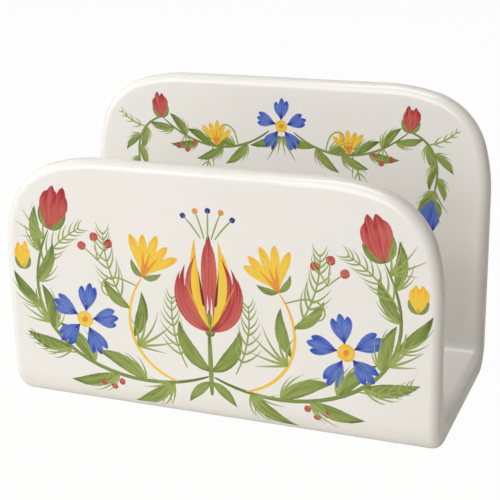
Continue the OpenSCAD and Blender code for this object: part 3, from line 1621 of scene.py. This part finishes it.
@dataclass(frozen=True)
class Gloss:
    """The gloss that the glaze has, over white and over paint alike."""

    roughness: float = 0.1
    ior: float = 1.5
    coat: float = 0.06
    coat_roughness: float = 0.03

    def dress(self, finish: "Finish") -> None:
        """Sets the plain gloss values on a shader's own sockets.

        Args:
            finish: The material's start.
        """
        finish.set("Roughness", self.roughness)
        finish.set("IOR", self.ior)
        finish.set("Coat Weight", self.coat)
        finish.set("Coat Roughness", self.coat_roughness)


class Finish:
    """Start of every material: a Principled shader on a clean sheet."""

    def __init__(self, name: str) -> None:
        """Makes the material with its shader and output.

        Args:
            name: The material's name.
        """
        self.material = bpy.data.materials.new(name)
        self.sheet = NodeSheet.emptied(self.material)
        self.shader = self.sheet.add("ShaderNodeBsdfPrincipled")
        self.sheet.add("ShaderNodeOutputMaterial", {"Surface": self.shader.outputs[0]})

    def set(self, label: str, value: object) -> None:
        """Feeds one of the shader's inputs."""
        self.sheet.feed(self.shader.inputs[label], value)

    def group(self, tree: bpy.types.NodeTree, **values: float) -> bpy.types.NodeOutputs:
        """Places a shared group with its own values and returns what it puts out."""
        return self.sheet.add("ShaderNodeGroup", values, node_tree=tree).outputs

    def bump(self, height: Socket) -> None:
        """Feeds a height in metres to the shader's normal."""
        node = self.sheet.add("ShaderNodeBump", {"Height": height, "Distance": 1.0, "Strength": 1.0})
        self.set("Normal", node.outputs["Normal"])


@dataclass(frozen=True)
class WhiteGlaze:
    """Warm white glaze, a little thinner and warmer over the rims."""

    gloss: Gloss = Gloss()
    body: Colour = paint_colour(246, 244, 240)
    pooled: Colour = paint_colour(245, 243, 238)
    thin: Colour = paint_colour(241, 236, 225)
    drift_scale: float = 34.0
    worn_scale: float = 90.0
    sheen_scale: float = 260.0
    sheen_spread: float = 0.05
    sheen_least: float = 0.08
    drift_window: Span = (0.3, 0.7)
    edge_window: Span = (0.35, 1.0)

    def make(self, skin: bpy.types.NodeTree) -> bpy.types.Material:
        """Builds the material.

        Args:
            skin: The shared skin of the glaze.

        Returns:
            The material.
        """
        finish = Finish("white_glaze")
        sheet = finish.sheet
        place = sheet.object_place()
        drift = sheet.ease(sheet.cloud(place, self.drift_scale), *self.drift_window)
        body = sheet.blend(drift, self.body, self.pooled)
        edge = sheet.ease(sheet.carried("edge_share"), *self.edge_window)
        worn = sheet.times(edge, sheet.cloud(place, self.worn_scale, 3.0))
        finish.set("Base Color", sheet.blend(worn, body, self.thin))
        self.gloss.dress(finish)
        finish.set("Roughness", sheet.times_plus(sheet.cloud(place, self.sheen_scale), self.sheen_spread,
                                                 self.sheen_least))
        finish.bump(finish.group(skin, Wave=1.0, Peel=1.0)["Height"])
        return finish.material


@dataclass(frozen=True)
class BrushColour:
    """A colour laid with the brush: its thin and its deep tone, and how it covers."""

    name: str
    thin: Colour
    deep: Colour
    streaks: float = 0.5
    pooling: float = 0.45
    thinnest: float = 0.78
    gloss: Gloss = Gloss()

    def make(self, skin: bpy.types.NodeTree, marks: bpy.types.NodeTree) -> bpy.types.Material:
        """Builds the material.

        Args:
            skin: The shared skin of the glaze.
            marks: The shared brush marks.

        Returns:
            The material.
        """
        finish = Finish(self.name)
        brush = finish.group(marks, Streaks=self.streaks, Pooling=self.pooling, Thinnest=self.thinnest)
        finish.set("Base Color", finish.sheet.blend(brush["Density"], self.thin, self.deep))
        finish.set("Alpha", brush["Coverage"])
        self.gloss.dress(finish)
        finish.bump(finish.group(skin, Wave=1.0, Peel=1.0)["Height"])
        return finish.material


PALETTE = {
    Paint.HAIR_GREEN: BrushColour(
        "hair_green", paint_colour(184, 196, 116), paint_colour(128, 148, 58), thinnest=0.74),
    Paint.LEAF_GREEN: BrushColour(
        "leaf_green", paint_colour(172, 188, 98), paint_colour(84, 110, 32), streaks=0.75),
    Paint.YELLOW: BrushColour(
        "egg_yellow", paint_colour(255, 232, 92), paint_colour(248, 184, 12), streaks=0.7),
    Paint.CORAL: BrushColour(
        "coral_red", paint_colour(230, 122, 108), paint_colour(172, 28, 42), streaks=0.75),
    Paint.BLUE: BrushColour(
        "corn_blue", paint_colour(122, 152, 224), paint_colour(36, 72, 182), streaks=0.75),
    Paint.ORANGE: BrushColour(
        "soft_orange", paint_colour(252, 176, 70), paint_colour(228, 118, 26)),
    Paint.NAVY: BrushColour(
        "deep_navy", paint_colour(48, 66, 162), paint_colour(12, 20, 106), thinnest=0.88),
    Paint.MAROON: BrushColour(
        "dark_maroon", paint_colour(122, 34, 38), paint_colour(68, 10, 16), thinnest=0.88),
}


@dataclass(frozen=True)
class BareClay:
    """Fired clay of the wiped foot, matt and slightly gritty."""

    light: Colour = paint_colour(226, 208, 180)
    dark: Colour = paint_colour(196, 172, 140)
    grit: Colour = paint_colour(140, 108, 80)
    patch_window: Span = (0.3, 0.7)
    grit_window: Span = (0.68, 0.76)
    patch_scale: float = 120.0
    grit_scale: float = 2600.0
    rough_scale: float = 300.0
    roughness: float = 0.72
    rough_spread: float = 0.2
    grain_scale: float = 1800.0
    grain_height: float = 0.04 * MM

    def make(self) -> bpy.types.Material:
        """Builds the material.

        Returns:
            The material.
        """
        finish = Finish("bare_clay")
        sheet = finish.sheet
        place = sheet.object_place()
        patches = sheet.ease(sheet.cloud(place, self.patch_scale, 4.0), *self.patch_window)
        grains = sheet.ease(sheet.cloud(place, self.grit_scale, 1.0), *self.grit_window)
        finish.set("Base Color", sheet.blend(grains, sheet.blend(patches, self.light, self.dark), self.grit))
        finish.set("Roughness", sheet.times_plus(sheet.cloud(place, self.rough_scale), self.rough_spread,
                                                 self.roughness))
        finish.bump(sheet.times(sheet.cloud(place, self.grain_scale, 3.0), self.grain_height))
        return finish.material


@dataclass
class NapkinHolder:
    """The whole holder: clay sheet, foot and painted faces."""

    sizes: SheetSizes
    design_width: float = 160.0
    front_seed: int = 11
    back_seed: int = 23

    def __post_init__(self) -> None:
        """Builds what the pieces share."""
        self.surface = PressedSurface()
        self.skin = GlazeSkin().group()
        self.marks = BrushMarks().group()
        self.glaze = WhiteGlaze().make(self.skin)

    def hand_in(self, piece: bpy.types.Object, slot: str, *nodes: str,
                material: bpy.types.Material | None = None) -> None:
        """Dresses a finished piece and ties it to the frame.

        Args:
            piece: The piece.
            slot: Its material slot; not used.
            nodes: The CAD nodes that it replaces, if any.
            material: Its material, if it has none yet.
        """
        if material is not None:
            piece.data.materials.append(material)
        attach(piece, BODY)
        if nodes:
            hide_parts(*nodes)
        log.info("%s: %d faces", piece.name, len(piece.data.polygons))

    def clay(self) -> tuple[bpy.types.Object, bpy.types.Object]:
        """Builds the glazed clay.

        Returns:
            The front and the back wall.
        """
        size = self.sizes
        sheet = ClaySheet(size, self.surface)
        front = sheet.wall(Side.FRONT, size.front_height, "front_wall_glazed")
        back = sheet.wall(Side.BACK, size.back_height, "back_wall_glazed")
        foot = FootSizes(size.half_sheet, size.heel_y)
        base = sheet.base(foot, "base_slab_glazed")
        self.hand_in(front, "glaze", "front_wall", "front_seam_coil", material=self.glaze)
        self.hand_in(back, "glaze", "back_wall", "back_seam_coil", material=self.glaze)
        self.hand_in(base, "glaze", "base_slab", material=self.glaze)
        band = foot.rim_band(sheet.columns, sheet.side_steps, "foot_rim_bare")
        self.hand_in(band, "bare_clay", material=BareClay().make())
        return front, back

    def painting(self, front: bpy.types.Object, back: bpy.types.Object) -> None:
        """Paints the front of the front wall and the inside of the back wall.

        Args:
            front: The front wall.
            back: The back wall.
        """
        size = self.sizes
        shared = (size.width / self.design_width, self.surface, BrushRibbons())
        tree = shared[-1].build()
        finishes = {paint: colour.make(self.skin, self.marks) for paint, colour in PALETTE.items()}
        works = (
            (FrontGarland(Brush(self.front_seed)), PaintedFace(front, "front", -size.depth / 2, *shared)),
            (BackSwag(Brush(self.back_seed)), PaintedFace(back, "back", size.inner_y, *shared)),
        )
        for design, face in works:
            design.paint_all()
            for paint in Paint:
                strokes = design.brush.strokes.get(paint)
                if strokes:
                    self.hand_in(face.ribbons(strokes, paint, tree, finishes[paint]), "paint")


@dataclass(frozen=True)
class Viewpoint:
    """Where the photograph was taken from, and through which lens."""

    yaw: float = math.radians(21.581)
    pitch: float = math.radians(18.137)
    roll: float = math.radians(-1.137)
    distance: float = 0.4679
    shift_right: float = -0.0009
    shift_up: float = 0.04995
    lens: float = 88.464
    sensor: float = 36.0

    def place_camera(self) -> None:
        """Puts the scene's camera there."""
        away = Vector((
            math.sin(self.yaw) * math.cos(self.pitch),
            -math.cos(self.yaw) * math.cos(self.pitch),
            math.sin(self.pitch),
        ))
        right = (-away).cross(UP).normalized()
        up = right.cross(-away)
        leaning = right * math.cos(self.roll) + up * math.sin(self.roll)
        upright = up * math.cos(self.roll) - right * math.sin(self.roll)
        place = away * self.distance + right * self.shift_right + up * self.shift_up
        data = bpy.data.cameras.new("photo_camera")
        data.lens = self.lens
        data.sensor_width = self.sensor
        camera = put_in_scene("photo_camera", data)
        camera.matrix_world = (Matrix.Translation(place)
                               @ Matrix((leaning, upright, away)).transposed().to_4x4())
        bpy.context.scene.camera = camera


@dataclass(frozen=True)
class Lamp:
    """A soft oblong lamp that looks at the holder."""

    name: str
    place: tuple[float, float, float]
    size: tuple[float, float]
    power: float
    target: tuple[float, float, float] = (0.0, 0.0, 0.05)

    def hang(self) -> None:
        """Puts the lamp up."""
        data = bpy.data.lights.new(self.name, "AREA")
        data.shape = "RECTANGLE"
        data.size, data.size_y = self.size
        data.energy = self.power
        lamp = put_in_scene(self.name, data)
        lamp.location = self.place
        way = Vector(self.target) - Vector(self.place)
        lamp.rotation_euler = way.to_track_quat("-Z", "Y").to_euler()


@dataclass(frozen=True)
class Studio:
    """Plain white studio: floor, ambient light and soft lamps.

    The two gleams are how much of their white the floor and the surroundings show in reflections.
    """

    ambient: float = 0.08
    ambient_tint: Colour = (1.0, 0.92, 0.78, 1.0)
    white: Colour = (1.0, 1.0, 1.0, 1.0)
    paper: Colour = (0.85, 0.822, 0.772, 1.0)
    floor_half: float = 4.0
    floor_glow: float = 0.97
    floor_gleam: float = 0.25
    sky_gleam: float = 0.7
    lamps: tuple[Lamp, ...] = (
        Lamp("left_lamp", (-1.2, -0.2, 0.6), (0.7, 0.7), 4.9),
        Lamp("front_left_lamp", (-0.9, -1.0, 0.5), (0.7, 0.7), 1.6),
        Lamp("front_lamp", (-0.1, -1.4, 0.3), (0.7, 0.5), 3.2),
        Lamp("wide_lamp", (-0.4, -1.5, 1.1), (1.7, 1.2), 7.6),
        Lamp("strip_lamp", (-0.5, -1.15, 0.88), (1.4, 0.26), 3.1),
        Lamp("top_lamp", (-0.05, -0.15, 1.3), (0.7, 0.7), 5.4),
        Lamp("back_lamp", (-1.2, 0.9, 1.0), (1.6, 1.2), 2.2),
    )

    def set_up(self) -> None:
        """Builds the studio."""
        bpy.context.scene.view_settings.view_transform = "Standard"
        for lamp in self.lamps:
            lamp.hang()
        self.light_world()
        self.lay_floor()

    def rays(self, sheet: NodeSheet, gleam: float) -> tuple[Socket, Socket]:
        """Tells the rays apart that the background looks white to.

        Args:
            sheet: The sheet of its material or of the world.
            gleam: How white it looks to a mirrored ray.

        Returns:
            1 for a ray from the camera, straight or through glass, and the gleam for a mirrored one.
        """
        path = sheet.add("ShaderNodeLightPath").outputs
        seen = sheet.larger(path["Is Camera Ray"], path["Is Transmission Ray"])
        return seen, sheet.times(path["Is Glossy Ray"], gleam)

    def light_world(self) -> None:
        """Even pale surroundings, white to the camera and a little softer in reflections."""
        world = bpy.data.worlds.new("white_studio")
        bpy.context.scene.world = world
        sheet = NodeSheet.emptied(world)
        seen = sheet.larger(*self.rays(sheet, self.sky_gleam))
        background = sheet.add("ShaderNodeBackground", {
            "Color": sheet.blend(seen, self.ambient_tint, self.white),
            "Strength": sheet.times_plus(seen, 1.0 - self.ambient, self.ambient),
        })
        sheet.add("ShaderNodeOutputWorld", {"Surface": background.outputs[0]})

    def lay_floor(self) -> None:
        """A pale floor, white to the camera, that keeps a soft shadow and shows dimly in the glaze."""
        mesh = bpy.data.meshes.new("studio_floor")
        half = self.floor_half
        corners = [(-half, -half, 0), (half, -half, 0), (half, half, 0), (-half, half, 0)]
        mesh.from_pydata(corners, [], [(0, 1, 2, 3)])
        floor = put_in_scene("studio_floor", mesh)
        material = bpy.data.materials.new("studio_paper")
        sheet = NodeSheet.emptied(material)
        paper = sheet.add("ShaderNodeBsdfDiffuse", {"Color": self.paper})
        glow = sheet.add("ShaderNodeEmission", {"Strength": 1.0})
        seen, mirrored = self.rays(sheet, self.floor_gleam)
        share = sheet.larger(sheet.times(seen, self.floor_glow), mirrored)
        both = sheet.add("ShaderNodeMixShader", {0: share, 1: paper.outputs[0], 2: glow.outputs[0]})
        sheet.add("ShaderNodeOutputMaterial", {"Surface": both.outputs[0]})
        mesh.materials.append(material)
        floor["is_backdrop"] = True


def main() -> None:
    """Loads the frame and builds the holder and its studio."""
    logging.basicConfig(level=logging.INFO, format="%(message)s")
    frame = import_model()
    log.info("frame with %d nodes", len(frame["nodes"]))
    Viewpoint().place_camera()
    Studio().set_up()
    holder = NapkinHolder(SheetSizes.from_frame())
    front, back = holder.clay()
    holder.painting(front, back)


if __name__ == "__main__":
    main()
